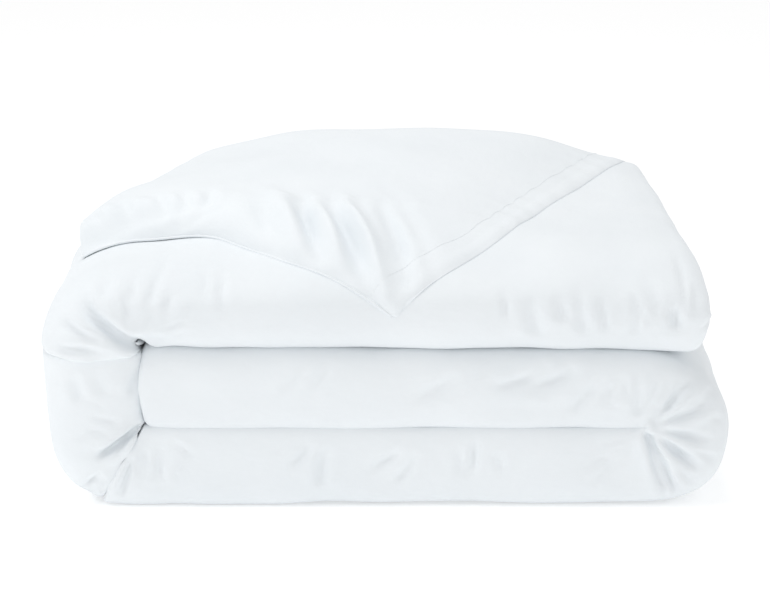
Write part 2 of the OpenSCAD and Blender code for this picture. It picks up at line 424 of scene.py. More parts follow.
# %% Upper bag
upper_line = [
    (LEFT, Z_MID - LAP, LEFT - LEFT_REACH, Z_MID - LAP - 0.001),
    *oval(HUB_U, LEFT_REACH, 0.080, 177, 96, 1.9),
    (-0.55 * SIDE, Z_MID + 0.003, -0.55 * SIDE, Z_TOP - 0.011),
    (0, Z_MID + 0.001, 0, Z_TOP - 0.005),
    (0.50 * SIDE, Z_MID, 0.50 * SIDE, Z_TOP - 0.003),
    (0.78 * SIDE, Z_MID - 0.001, 0.78 * SIDE, Z_TOP - 0.005),
    (0.91 * SIDE, Z_MID - 0.003, 0.91 * SIDE, Z_TOP - 0.013),
]
upper = face_outwards(
    sweep_bag(
        "duvet_upper", upper_line, STEP, cap=(0.006, 0.024), blunts=(0.98, 0.55),
        rounds=(0.10, 0.22, 0.28, 0.28, 0.24), inner_round=0.05, power=2.2,
        y_range=(FRONT - 0.006, BACK - 0.012),
    )
)

# The right end narrows towards the back, and the raised back left corner is drawn in and down.
END_NARROWS = 0.024
CORNER_IN = 0.11
CORNER_DOWN = 0.018
points = points_of(upper)
towards_end = np.clip((points[:, 0] - 0.18) / 0.15, 0, 1)
towards_back = np.clip((points[:, 1] + 0.22) / 0.50, 0, 1)
points[:, 0] += towards_end * (0.001 - END_NARROWS * towards_back)
raised = ease(points[:, 2], 0.165, 0.235)
back_left = ease(-points[:, 0], 0.10, 0.34) * raised
points[:, 1] -= CORNER_IN * back_left * towards_back ** 1.5
points[:, 2] -= CORNER_DOWN * back_left * ease(points[:, 1], -0.12, 0.16)
set_points(upper, points)
upper_rows = len(upper.data.vertices) // RING
print("upper bag", upper_rows, "rows")

# %% [markdown]
# ### Creases made by folding
#
# At each fold the inside of the cloth is too long, so it gathers into creases that fan out from the
# inner corner. Between the folds the layers pull on one another, which leaves small groups of parallel
# pleats. Both are described by a few values, and their places come from the folds and the layers.

# %% Creases on the layers
BOTTOM = (0, Z_LOW)
MIDDLE = (Z_LOW, Z_MID)
TOP = (Z_MID, Z_TOP)


def fan(hub, turns, count, reach, width, depth, seed):
    """Creases that run out from a hub between two radii, spread evenly over two turns, in degrees."""
    mix = np.random.default_rng(seed)
    marks = []
    for turn in np.radians(np.linspace(*turns, count)):
        bent = turn + mix.uniform(-0.10, 0.10)
        steps = zip(np.linspace(*reach, 4), np.linspace(turn, bent, 4) + mix.uniform(-0.03, 0.03, 4))
        line = [(hub[0] + r * math.cos(t), hub[1] + r * math.sin(t)) for r, t in steps]
        marks.append((line, width, depth * mix.uniform(0.8, 1.15)))
    return marks


def pleats(layer, along, up, way, length, apart, count, depth, seed):
    """Parallel short creases on a layer's front, apart metres from one another. along and up place their
    heads, as shares of half the pile's width and of the layer's height, and way is in degrees."""
    mix = np.random.default_rng(seed)
    marks = []
    for k in range(count):
        x = along * SIDE + (k - 0.5 * (count - 1) + mix.uniform(-0.3, 0.3)) * apart
        z = layer[0] + (up + mix.uniform(-0.10, 0.10)) * (layer[1] - layer[0])
        turn = math.radians(way + mix.uniform(-16, 16))
        bend = mix.uniform(-0.45, 0.45)
        stride = length * mix.uniform(0.6, 1.2) / 3
        line = [(x, z)]
        for step in range(3):
            t = turn + bend * step / 2
            line.append((line[-1][0] + stride * math.cos(t), line[-1][1] + stride * math.sin(t)))
        marks.append((line, mix.uniform(0.0045, 0.0078), depth * mix.uniform(0.5, 1.1)))
    return marks


def small_fan(hub, turn_from, turn_to, count, reach, seed):
    """A fan of fine gathers round a hub: short creases of uneven length and depth, turns in degrees."""
    mix = np.random.default_rng(seed)
    marks = []
    for turn in np.radians(np.linspace(turn_from, turn_to, count) + mix.uniform(-4, 4, count)):
        start = reach * mix.uniform(0.25, 0.6)
        end = start + reach * mix.uniform(0.25, 0.5)
        bend = turn + mix.uniform(-0.2, 0.2)
        line = [(hub[0] + r * math.cos(t), hub[1] + r * math.sin(t)) for r, t in ((start, turn), (end, bend))]
        marks.append((line, mix.uniform(0.003, 0.0045), mix.uniform(0.0012, 0.0028)))
    return marks


right_fan = fan(HUB_R, (46, -34), 4, (0.014, 0.078), 0.0052, 0.0062, 1)
right_fan += fan(HUB_R, (-60, -70), 2, (0.010, 0.088), 0.0046, 0.0085, 2)
right_fan += fan(HUB_R, (30, -48), 4, (0.055, 0.086), 0.0046, 0.0032, 12)
right_fan += small_fan(HUB_R, -72, 62, 12, 0.085, 3)

bottom_marks = fan(HUB_L, (-110, -125), 2, (0.035, 0.085), 0.0042, 0.0050, 13)
bottom_marks += pleats(BOTTOM, -0.65, 0.90, -110, 0.040, 0.015, 3, 0.0038, 14)
bottom_marks += pleats(BOTTOM, -0.20, 0.80, -120, 0.036, 0.020, 2, 0.0038, 15)
bottom_marks += pleats(BOTTOM, 0.05, 0.80, -130, 0.036, 0.015, 2, 0.0042, 16)
bottom_marks += pleats(BOTTOM, 0.25, 0.85, -80, 0.038, 0.020, 3, 0.0045, 17)
bottom_marks += small_fan(HUB_L, -100, -28, 7, 0.075, 4) + small_fan(HUB_R, -155, -115, 4, 0.08, 5)

middle_marks = pleats(MIDDLE, 0.52, 0.78, -142, 0.052, 0.025, 3, 0.0058, 18)
middle_marks += pleats(MIDDLE, 0.75, 0.60, -115, 0.035, 0.021, 4, 0.0034, 19)
middle_marks += pleats(MIDDLE, -0.20, 0.80, -130, 0.045, 0.018, 2, 0.0045, 20)
middle_marks += pleats(MIDDLE, 0.20, 0.70, -142, 0.045, 0.030, 2, 0.0042, 21)
middle_marks += small_fan(HUB_R, 75, 135, 5, 0.08, 6)

wrap_marks = fan(HUB_L, (216, 216), 1, (0.006, 0.062), 0.0045, 0.0090, 22)
wrap_marks += fan(HUB_L, (228, 236), 2, (0.070, 0.100), 0.0040, 0.0055, 23)
wrap_marks += pleats(MIDDLE, -0.80, 0.70, -90, 0.028, 0.026, 3, 0.0035, 24)
wrap_marks += small_fan(HUB_L, 150, 235, 7, 0.08, 7)

upper_marks = fan(HUB_U, (145, 145), 1, (0.0, 0.085), 0.0075, 0.0110, 25)
upper_marks += fan(HUB_U, (178, 160), 2, (0.045, 0.090), 0.0046, 0.0055, 26)
upper_marks += pleats(TOP, -0.72, 0.20, -20, 0.040, 0.018, 2, 0.0048, 27)
upper_marks += pleats(TOP, -0.64, 0.66, -92, 0.028, 0.025, 6, 0.0034, 28)
upper_marks += pleats(TOP, 0.58, 0.62, -78, 0.036, 0.024, 8, 0.0042, 29)
upper_marks += small_fan(HUB_U, 20, 160, 12, 0.09, 8) + small_fan((0.83 * SIDE, Z_MID), 50, 140, 9, 0.09, 9)
print(len(right_fan + bottom_marks + middle_marks + wrap_marks + upper_marks), "creases on the layers")


def draw_creases(piece, marks, scale=1.0, narrow=1.0):
    """Presses creases, given on the front as (x, z) lines, into the front of a piece."""
    points = points_of(piece)
    normals = normals_of(piece)
    seen = on_front(points)
    sink = np.zeros(len(points))
    for line, width, depth in marks:
        sink += crease_depth(points[:, [0, 2]], line, width * narrow, depth * scale, lip=0.5, start=0.4)
    set_points(piece, points - normals * (sink * seen)[:, None])


def swell_unevenly(piece, amount, seed):
    """The filling's unevenness: slow bumps and hollows over the whole bag."""
    points = points_of(piece)
    bumps = smooth_noise(points, 0.16, seed) + 0.45 * smooth_noise(points, 0.07, seed + 1)
    set_points(piece, points + normals_of(piece) * (bumps * amount)[:, None])


layers = ((lower, 0.0022, 11), (wrap, 0.0018, 21), (upper, 0.0017, 31))
for piece, amount, seed in layers:
    swell_unevenly(piece, amount, seed)
creased = ((lower, right_fan + bottom_marks + middle_marks), (wrap, wrap_marks), (upper, upper_marks))
for piece, marks in creased:
    draw_creases(piece, marks, 0.6)

# %% [markdown]
# ### Settling
#
# Near a fold the cloth has much to spare and wrinkles most; in the middle of a layer hardly at all.

# %% Settling the layers
def near(points, spots, reach):
    """1 at the given (x, z) spots, easing to 0 at reach."""
    best = np.full(len(points), 1e9)
    for x, z in spots:
        best = np.minimum(best, np.hypot(points[:, 0] - x, points[:, 2] - z))
    return soft_step(1 - best / reach)


def settle_layer(piece, hubs, growth, cap):
    points = points_of(piece)
    held = 0.9 * near(points, hubs, 0.02)
    surplus = 0.35 + 0.65 * near(points, hubs, 0.13)
    settle(piece, held, surplus, growth, 3.0, 16, cap)


settle_layer(lower, [HUB_R, HUB_L], 0.05, 0.012)
settle_layer(wrap, [HUB_L], 0.05, 0.010)
settle_layer(upper, [HUB_U, (0.335, 0.20)], 0.05, 0.012)
for piece, marks in creased:
    draw_creases(piece, marks, 0.25)
    soften(piece)
    draw_creases(piece, marks, 0.36, 0.70)

# %% [markdown]
# ### The turned-down corner
#
# The uppermost ply is turned over at the back and lies on the pile with its free corner hanging over
# the front. It is laid out flat first, as (across, along) in metres, then draped over the real surface
# of the top layer, and the filling is put on top of the drape.

# %% Laying out the flap
SHOULDER_Y = -0.135
SHOULDER_R = 0.135
SHOULDER_X = -0.200
SHOULDER_RX = 0.130
CREST_Z = 0.262
FLAP_BACK = 0.225
BACK_R = 0.042
FRONT_TURN = 1.32
BACK_TURN = 2.6
SIDE_TURN = 1.7
ROWS = 112
COLUMNS = 104

def rounded_line(corners, easing):
    """A line through the corners as (across, along), each inner one rounded over its easing either way."""
    corners = np.array(corners, float)
    line = [corners[0]]
    for before, corner, after, reach in zip(corners, corners[1:], corners[2:], easing):
        start = corner + reach * (before - corner) / np.linalg.norm(before - corner)
        end = corner + reach * (after - corner) / np.linalg.norm(after - corner)
        for t in np.linspace(0, 1, 9):
            line.append((1 - t) ** 2 * start + 2 * t * (1 - t) * corner + t ** 2 * end)
    return np.vstack([*line, corners[-1]])


TIP = (0.006, -0.272)
LEFT_WAIST = (-0.120, -0.200)
LEFT_BEND = (-0.190, -0.130)
LEFT_CORNER = (-0.325, -0.112)
HEM_BEND = (0.105, -0.195)
HEM_BACK = (0.285, 0.235)
PLY_END = 0.330
left_edge = rounded_line([TIP, LEFT_WAIST, LEFT_BEND, LEFT_CORNER, (-0.205, PLY_END)], (0.030, 0.030, 0.025))
right_edge = rounded_line([(TIP[0] + 0.004, TIP[1]), HEM_BEND, HEM_BACK, (0.295, PLY_END)], (0.050, 0.030))


def edge_at(edge, q):
    """How far across an edge lies, for places q along the flap."""
    return np.interp(q, edge[:, 1], edge[:, 0])


def drape_guess(p, q, back_line):
    """The point over the pile for a spot (p across, q along) of the flat cloth, and the way out there."""
    front = np.clip((SHOULDER_Y - q) / SHOULDER_R, 0, FRONT_TURN)
    beyond = np.maximum((SHOULDER_Y - q) / SHOULDER_R - FRONT_TURN, 0) * SHOULDER_R
    y = np.where(q < SHOULDER_Y, SHOULDER_Y - SHOULDER_R * np.sin(front), q)
    z = CREST_Z - SHOULDER_R * (1 - np.cos(front)) - beyond * math.sin(FRONT_TURN)
    y = y - beyond * math.cos(FRONT_TURN)
    back = np.clip((q - back_line) / BACK_R, 0, BACK_TURN)
    y = np.where(q > back_line, back_line + BACK_R * np.sin(back), y)
    z = z - BACK_R * (1 - np.cos(back))
    side = np.clip((SHOULDER_X - p) / SHOULDER_RX, 0, SIDE_TURN)
    x = np.where(p < SHOULDER_X, SHOULDER_X - SHOULDER_RX * np.sin(side), p)
    z = z - SHOULDER_RX * (1 - np.cos(side))
    upwards = np.cos(side) * np.cos(front) * np.cos(back)
    out = np.stack([-np.sin(side), np.sin(back) - np.sin(front), upwards], -1)
    out /= np.linalg.norm(out, axis=-1, keepdims=True)
    return np.stack([x, y, z], -1), out


LOOK_FROM = 0.12
LOOK_FAR = 0.20


def lay_on(piece, guess, out, lift):
    """Moves each guessed point along its way out until it lies on the piece, lift above it."""
    tree = BVHTree.FromObject(piece, bpy.context.evaluated_depsgraph_get())
    laid = guess.copy()
    missed = 0
    for i in np.ndindex(guess.shape[:-1]):
        start = Vector(guess[i] + out[i] * LOOK_FROM)
        hit, _, _, _ = tree.ray_cast(start, Vector(-out[i]), LOOK_FAR)
        if hit is None:
            missed += 1
        else:
            laid[i] = np.array(hit) + out[i] * lift
    print("draped", laid.shape[0] * laid.shape[1], "points,", missed, "off the layer")
    return laid


steps = np.hypot(*np.diff(left_edge, axis=0).T)
along = np.r_[0, np.cumsum(steps)]
q_line = np.interp(np.linspace(0, along[-1], ROWS), along, left_edge[:, 1])
p_low = edge_at(left_edge, q_line)
p_high = edge_at(right_edge, q_line)
share = 0.5 - 0.5 * np.cos(np.linspace(0, math.pi, COLUMNS))
share = 0.35 * share + 0.65 * np.linspace(0, 1, COLUMNS)
P = p_low[:, None] + (p_high - p_low)[:, None] * share[None, :]
Q = np.repeat(q_line[:, None], COLUMNS, axis=1)
CORNER_INSET = 0.12
inset = CORNER_INSET * ease(-P, 0.06, 0.33)
reach = soft_step((Q + 0.06) / 0.35)
guess, out = drape_guess(P, Q - inset * reach, FLAP_BACK - inset)
base = lay_on(upper, guess, out, 0.0012)


def smooth_grid(grid, rounds):
    """Evens out a draped grid so that the cloth bridges the small hollows below it."""
    g = grid.copy()
    for _ in range(rounds):
        inner = (g[:-2, 1:-1] + g[2:, 1:-1] + g[1:-1, :-2] + g[1:-1, 2:]) / 4
        g[1:-1, 1:-1] = 0.5 * g[1:-1, 1:-1] + 0.5 * inner
    return g


base = smooth_grid(base, 30)
out = smooth_grid(out, 60)
out /= np.linalg.norm(out, axis=-1, keepdims=True)
flat = np.stack([P, Q], -1)
flat_points = flat.reshape(-1, 2)

# %% [markdown]
# The filling stops short of the straight edge, where the two plies are sewn into a flat hem, and
# reaches the other edge, where it is only held by a seam. Long soft folds run down to the hanging tip.

# %% Filling the flap
HEM = 0.032
PUFF = 0.034
LEAST_THICK = 0.0015
to_right = distance_to(flat_points, right_edge)[0].reshape(P.shape)
to_left = distance_to(flat_points, left_edge)[0].reshape(P.shape)
to_tip = np.hypot(P - TIP[0], Q - TIP[1])
past_hem = np.maximum(to_right - 0.5 * HEM, 0)
rolled = np.clip((Q + 0.16) / 0.08, 0, 1)
puff = PUFF * (1 - np.exp(-((past_hem / 0.075) ** 1.5))) * (1 - np.exp(-to_left / (0.020 - 0.012 * rolled)))
puff *= 0.45 + 0.55 * np.clip(to_tip / 0.22, 0, 1)
thick = 0.0016 + 0.0019 * (1 - np.exp(-np.minimum(to_left, to_right) / 0.004)) + puff
lift = 0.002 * rolled * np.exp(-((to_left / 0.035) ** 2))
press = 0.0018 * (1 - rolled * (to_left < to_right)) * np.exp(-((np.minimum(to_left, to_right) / 0.007) ** 2))
base = base + out * (lift - press)[..., None]

# Long folds hang side by side towards the tip, a ridge where the depth is below 0, and short tucks
# gather along the seam of the left edge.
FOLD_DEPTHS = (0.003, 0.008, -0.011, 0.005, -0.006, 0.011, -0.005, 0.005)
FOLD_APART = 0.023
FIRST_FOLD = 0.045
mix = np.random.default_rng(41)
flap_folds = []
for k, depth in enumerate(FOLD_DEPTHS):
    foot_p = FIRST_FOLD - FOLD_APART * k
    foot_q = TIP[1] + 0.020 + 0.55 * abs(foot_p)
    head_q = -0.085 + mix.uniform(-0.060, 0.070)
    lean = 0.25 + mix.uniform(-0.07, 0.07)
    qs = np.linspace(head_q, foot_q, 4)
    ps = foot_p - lean * (qs - foot_q) + mix.uniform(-0.002, 0.002, 4)
    flap_folds.append((list(zip(ps, qs)), mix.uniform(0.0070, 0.0105), depth))
edge_slope = (LEFT_CORNER[1] - LEFT_BEND[1]) / (LEFT_CORNER[0] - LEFT_BEND[0])
for p in np.arange(-0.190, LEFT_CORNER[0] + 0.010, -0.025):
    foot_q = LEFT_BEND[1] + edge_slope * (p - LEFT_BEND[0]) + 0.010
    tuck = [(p, foot_q + 0.050), (p + mix.uniform(-0.006, 0.006), foot_q)]
    flap_folds.append((tuck, 0.0055, mix.uniform(0.004, 0.007)))
for line, width, depth in flap_folds:
    thick = thick - crease_depth(flat_points, line, width, depth, 0.3, 0.0, 0.4, 0.6).reshape(P.shape)
stitch_dip = 0.0004 * np.exp(-(((to_right - HEM) / 0.0028) ** 2))
pucker = 0.5 + 0.5 * np.sin(to_tip / 0.0075 + 2.2 * np.sin(to_tip / 0.041))
hem_ripple = 0.0019 * pucker * np.exp(-np.maximum(to_right - HEM, 0) / 0.016)
hem_ripple *= 1 - np.exp(-to_right / 0.004)
seam_ripple = 0.0022 * pucker * np.exp(-to_left / 0.014) * (1 - np.exp(-to_left / 0.003))
thick = thick - stitch_dip + hem_ripple + seam_ripple
waves = smooth_noise(np.column_stack([flat_points, np.zeros(len(flat_points))]), 0.13, 51).reshape(P.shape)
thick = thick + 0.0020 * waves * (puff / PUFF)
thick = np.maximum(thick, LEAST_THICK)
top_face = base + out * thick[..., None]


def two_sided(rows, columns):
    """Faces of a closed sheet whose points are a grid of rows and columns, twice: upper side, then lower."""
    count = rows * columns
    faces = []
    for i in range(rows - 1):
        for j in range(columns - 1):
            a = i * columns + j
            b, c, d = a + 1, a + columns + 1, a + columns
            faces.append((a, b, c, d))
            faces.append((count + a, count + d, count + c, count + b))
    rim = [j for j in range(columns)]
    rim += [i * columns + columns - 1 for i in range(1, rows)]
    rim += [(rows - 1) * columns + j for j in range(columns - 2, -1, -1)]
    rim += [i * columns for i in range(rows - 2, 0, -1)]
    for k in range(len(rim)):
        a, b = rim[k], rim[(k + 1) % len(rim)]
        faces.append((b, a, count + a, count + b))
    return faces


points = np.vstack([top_face.reshape(-1, 3), base.reshape(-1, 3)])
flap = new_piece("corner_flap_bag", points, two_sided(ROWS, COLUMNS))
spots = np.array([loop.vertex_index for loop in flap.data.loops]) % (ROWS * COLUMNS)
lay_cloth(flap, flat_points[spots])
face_outwards(flap)
soften(flap)
print("flap", len(points), "points")

# %% [markdown]
# ### Seams and stitching
#
# Three kinds of sewing are made. The side of the cover ends in a narrow rolled seam, the hem of the
# opening is held by a row of straight stitches, and each layer has a seam along the back. A seam is a
# thin tube that follows points of the finished cloth. A stitch is a short bead of thread, a little
# sunk at its ends.

# %% Tubes along a line
def tube(line, radius, sides=8):
    """A round roll of cloth along a line of points, closed at both ends."""
    line = np.asarray(line, float)
    ahead = np.gradient(line, axis=0)
    ahead /= np.linalg.norm(ahead, axis=1, keepdims=True)
    side = np.cross(ahead, (0.12, 0.31, 0.94))
    side /= np.linalg.norm(side, axis=1, keepdims=True)
    up = np.cross(side, ahead)
    turn = np.linspace(0, 2 * math.pi, sides, endpoint=False)
    radii = np.broadcast_to(radius, len(line))
    points = []
    for i in range(len(line)):
        points += [line[i] + radii[i] * (math.cos(t) * side[i] + math.sin(t) * up[i]) for t in turn]
    faces = []
    for i in range(len(line) - 1):
        for j in range(sides):
            k = (j + 1) % sides
            faces.append((i * sides + j, i * sides + k, (i + 1) * sides + k, (i + 1) * sides + j))
    last = (len(line) - 1) * sides
    faces += [tuple(range(sides))[::-1], tuple(last + j for j in range(sides))]
    return np.array(points), faces


def even_line(line, step):
    """The same line with points evenly step apart."""
    line = np.asarray(line, float)
    along = np.r_[0, np.cumsum(np.linalg.norm(np.diff(line, axis=0), axis=1))]
    spread = np.linspace(0, along[-1], int(along[-1] / step) + 1)
    return np.column_stack([np.interp(spread, along, line[:, k]) for k in range(3)])


def joined(name, parts):
    """One piece from several (points, faces) parts."""
    points, faces, start = [], [], 0
    for part_points, part_faces in parts:
        points.append(part_points)
        faces += [tuple(start + v for v in face) for face in part_faces]
        start += len(part_points)
    piece = new_piece(name, np.vstack(points), faces)
    piece.data.shade_smooth()
    return face_outwards(piece)


# %% Side seam and hem stitches
SIDE_SEAM_R = 0.0015
STITCH = 0.0036
STITCH_R = 0.00034
border = 0.5 * (top_face[:, 0] + base[:, 0])
side_line = even_line(border, 0.004)
side_seam = joined("side_seam_roll", [tube(side_line, SIDE_SEAM_R)])

crossing = []
for i in range(2, ROWS - 6):
    inside = np.nonzero(to_right[i] > HEM)[0]
    if len(inside) and inside[-1] + 1 < COLUMNS:
        j = inside[-1]
        share = (to_right[i, j] - HEM) / (to_right[i, j] - to_right[i, j + 1])
        spot = top_face[i, j] + share * (top_face[i, j + 1] - top_face[i, j])
        crossing.append(spot + out[i, j] * 0.0003)
stitch_line = even_line(crossing, STITCH / 6)
stitches = []
for start in range(0, len(stitch_line) - 6, 6):
    bead = stitch_line[start:start + 5]
    radius = STITCH_R * np.array([0.45, 0.95, 1.0, 0.95, 0.45])
    stitches.append(tube(bead, radius, 6))
hem_thread = joined("hem_stitching", stitches)
print("side seam", len(side_line), "points,", len(stitches), "hem stitches")

# %% Back seams
BACK_SEAM_R = 0.0017


def back_seam(name, piece, rows):
    """The rolled seam along the middle of a bag's back edge."""
    points = points_of(piece)
    line = points[[i * RING + BACK_MIDDLE for i in range(rows)]]
    ahead = even_line(line[1:-1] - (0, 0.0004, 0), 0.006)
    return joined(name, [tube(ahead, BACK_SEAM_R)])


lower_seam = back_seam("lower_back_seam", lower, lower_rows)
wrap_seam = back_seam("wrap_back_seam", wrap, wrap_rows)
upper_seam = back_seam("upper_back_seam", upper, upper_rows)

# %% [markdown]
# ### Buttons and label
#
# The opening of the cover closes with small four-hole buttons sewn to the inner ply of the hem, so they
# only show when the corner is turned back. A satin label hangs from the back seam of the bottom layer.

# %% Buttons
BUTTON_R = 0.0058
BUTTON_HOLE_OUT = 0.00115


def button_disc():
    """A turned button with a raised rim; its four holes are cut afterwards by drilled."""
    profile = [(0, 0.0011), (0.55, 0.0011), (0.66, 0.0013), (0.78, 0.0019), (0.90, 0.0022), (0.98, 0.0017),
               (1.0, 0.0010), (0.94, 0.0002), (0.80, 0.0), (0, 0.0)]
    sides = 48
    points = [(0, 0, profile[0][1])]
    for radius, height in profile[1:-1]:
        for j in range(sides):
            t = 2 * math.pi * j / sides
            points.append((radius * BUTTON_R * math.cos(t), radius * BUTTON_R * math.sin(t), height))
    points.append((0, 0, 0))
    rings = len(profile) - 2
    faces = [(0, 1 + j, 1 + (j + 1) % sides) for j in range(sides)]
    for i in range(rings - 1):
        for j in range(sides):
            k = (j + 1) % sides
            a, b = 1 + i * sides, 1 + (i + 1) * sides
            faces.append((a + j, b + j, b + k, a + k))
    last = 1 + (rings - 1) * sides
    faces += [(last + j, len(points) - 1, last + (j + 1) % sides) for j in range(sides)]
    return np.array(points), faces


def drilled(piece):
    """Cuts four thread holes through a button."""
    drills = []
    for x, y in ((1, 1), (1, -1), (-1, 1), (-1, -1)):
        line = [(x * BUTTON_HOLE_OUT, y * BUTTON_HOLE_OUT, z) for z in (-0.002, 0.001, 0.004)]
        drills.append(tube(line, 0.0006, 14))
    drill = joined("drill", drills)
    cut = piece.modifiers.new("Holes", "BOOLEAN")
    cut.operation = "DIFFERENCE"
    cut.solver = "EXACT"
    cut.object = drill
    with bpy.context.temp_override(object=piece, active_object=piece):
        bpy.ops.object.modifier_apply(modifier=cut.name)
    bpy.data.objects.remove(drill)
    return piece


buttons, button_threads = [], []
for number, wanted_q in enumerate((-0.150, -0.020, 0.110), start=1):
    i = int(np.argmin(np.abs(Q[:, -1] - wanted_q)))
    j = int(np.argmin(np.abs(to_right[i] - HEM / 2)))
    down = Vector(-out[i, j])
    turn = down.to_track_quat("Z", "Y").to_matrix()
    place = Vector(base[i, j]) + down * 0.0002
    button = drilled(joined("hem_button_%d" % number, [button_disc()]))
    threads = []
    for x, y in ((1, 1), (1, -1)):
        hole = np.array((x, y)) * BUTTON_HOLE_OUT
        top = np.array((x, y)) * 0.00105
        line = [(*hole, 0.0002), (*top, 0.0014), (0, 0, 0.0017), (*-top, 0.0014), (*-hole, 0.0002)]
        threads.append(tube(even_line(line, 0.0004), 0.00028, 6))
    thread = joined("button_thread_%d" % number, threads)
    for piece in (button, thread):
        local = points_of(piece)
        set_points(piece, local @ np.array(turn).T + np.array(place))
    buttons.append(button)
    button_threads.append(thread)
print(len(buttons), "buttons of", round(BUTTON_R * 2000, 1), "mm")

# %% Care label
label_low, label_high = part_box("care_label")
label_w = label_high[0] - label_low[0]
label_h = label_high[2] - label_low[2]
seam_y = float(points_of(lower_seam)[:, 1].max())
ACROSS = 13
DOWN = 17
LABEL_T = 0.0004
label_points = []
for side in (0, 1):
    for drop in np.linspace(0, 1, DOWN):
        for share in np.linspace(0, 1, ACROSS):
            curl = 0.0022 * math.sin(math.pi * drop) + 0.0012 * math.sin(2.4 * math.pi * share) * drop
            y = seam_y - 0.0012 + curl + LABEL_T * side
            label_points.append((label_low[0] + label_w * share, y, label_high[2] - label_h * drop))
label = face_outwards(new_piece("care_label_tag", label_points, two_sided(DOWN, ACROSS)))
label.data.shade_smooth()
print("label", round(label_w * 1000), "x", round(label_h * 1000), "mm")

# %% [markdown]
# ### Cotton
#
# The cover is a plain white percale: fine threads crossing one over one, matt, with a faint soft sheen
# at grazing angles and a very slightly cool white. The threads follow the flat cloth, so the weave runs
# round the folds as real cloth does. Over them goes a shallow crumple, the crease memory of cotton.

# %% Cotton material
def fresh_material(name):
    material = bpy.data.materials.new(name)
    material.use_nodes = True
    tree = material.node_tree
    return material, tree.nodes, tree.links, tree.nodes["Principled BSDF"]


def add(nodes, kind, **settings):
    node = nodes.new(kind)
    for key, value in settings.items():
        if key in node.inputs:
            node.inputs[key].default_value = value
        else:
            setattr(node, key, value)
    return node


def weave(nodes, links, pitch):
    """Height of a plain weave, from two crossed rows of round threads."""
    cloth = add(nodes, "ShaderNodeUVMap", uv_map="cloth")
    rows = []
    for way in ("X", "Y"):
        wave = add(nodes, "ShaderNodeTexWave", wave_type="BANDS", bands_direction=way, wave_profile="SIN")
        wave.inputs["Scale"].default_value = 0.314 / pitch
        wave.inputs["Distortion"].default_value = 0.6
        wave.inputs["Detail"].default_value = 1.0
        wave.inputs["Detail Scale"].default_value = 0.4
        links.new(cloth.outputs["UV"], wave.inputs["Vector"])
        rows.append(wave)
    both = add(nodes, "ShaderNodeMath", operation="MAXIMUM")
    links.new(rows[0].outputs["Fac"], both.inputs[0])
    links.new(rows[1].outputs["Fac"], both.inputs[1])
    return both.outputs[0]


def object_noise(nodes, links, scale, detail, stretch=(1, 1, 1)):
    place = add(nodes, "ShaderNodeTexCoord")
    stretched = add(nodes, "ShaderNodeMapping")
    stretched.inputs["Scale"].default_value = stretch
    noise = add(nodes, "ShaderNodeTexNoise")
    noise.inputs["Scale"].default_value = scale
    noise.inputs["Detail"].default_value = detail
    links.new(place.outputs["Object"], stretched.inputs["Vector"])
    links.new(stretched.outputs["Vector"], noise.inputs["Vector"])
    return noise.outputs["Fac"]


def bumped(nodes, links, height, distance, before=None):
    bump = add(nodes, "ShaderNodeBump")
    bump.inputs["Strength"].default_value = 1.0
    bump.inputs["Distance"].default_value = distance
    links.new(height, bump.inputs["Height"])
    if before is not None:
        links.new(before, bump.inputs["Normal"])
    return bump.outputs["Normal"]


def tinted(nodes, links, height, dark, light):
    ramp = add(nodes, "ShaderNodeValToRGB")
    ramp.color_ramp.elements[0].color = (*dark, 1)
    ramp.color_ramp.elements[1].color = (*light, 1)
    ramp.color_ramp.elements[0].position = 0.3
    ramp.color_ramp.elements[1].position = 0.7
    links.new(height, ramp.inputs["Fac"])
    return ramp.outputs["Color"]


def spread_of(nodes, links, height, low, high):
    scaled = add(nodes, "ShaderNodeMapRange")
    scaled.inputs["To Min"].default_value = low
    scaled.inputs["To Max"].default_value = high
    links.new(height, scaled.inputs["Value"])
    return scaled.outputs["Result"]


THREAD_PITCH = 0.0005
cotton, nodes, links, shader = fresh_material("percale_cotton")
patches = object_noise(nodes, links, 9, 3)
crumple = object_noise(nodes, links, 34, 4, (1.0, 0.6, 1.5))
threads = weave(nodes, links, THREAD_PITCH)
white = tinted(nodes, links, patches, (0.835, 0.872, 0.898), (0.862, 0.896, 0.920))
links.new(white, shader.inputs["Base Color"])
links.new(spread_of(nodes, links, crumple, 0.78, 0.92), shader.inputs["Roughness"])
normal = bumped(nodes, links, crumple, 0.0016)
links.new(bumped(nodes, links, threads, 0.00005, normal), shader.inputs["Normal"])
shader.inputs["Sheen Weight"].default_value = 0.12
shader.inputs["Sheen Roughness"].default_value = 0.5
shader.inputs["Specular IOR Level"].default_value = 0.3
print("cotton with", THREAD_PITCH * 1000, "mm threads")

# %% [markdown]
# ### Thread, buttons and label
#
# Sewing thread is a little brighter and smoother than the cloth. The buttons are a pearly plastic with
# slow swirls, and the label is satin, which shines more along its fine floating threads.

# %% Thread, button and label materials
thread_white, nodes, links, shader = fresh_material("sewing_thread")
twist = object_noise(nodes, links, 900, 2, (1, 1, 2.5))
links.new(tinted(nodes, links, twist, (0.84, 0.87, 0.89), (0.92, 0.94, 0.95)), shader.inputs["Base Color"])
links.new(bumped(nodes, links, twist, 0.0001), shader.inputs["Normal"])
shader.inputs["Roughness"].default_value = 0.55

pearl, nodes, links, shader = fresh_material("pearl_plastic")
swirl = object_noise(nodes, links, 160, 2, (1, 2.2, 1))
links.new(tinted(nodes, links, swirl, (0.78, 0.79, 0.78), (0.92, 0.92, 0.90)), shader.inputs["Base Color"])
links.new(spread_of(nodes, links, swirl, 0.18, 0.32), shader.inputs["Roughness"])
shader.inputs["Coat Weight"].default_value = 0.4

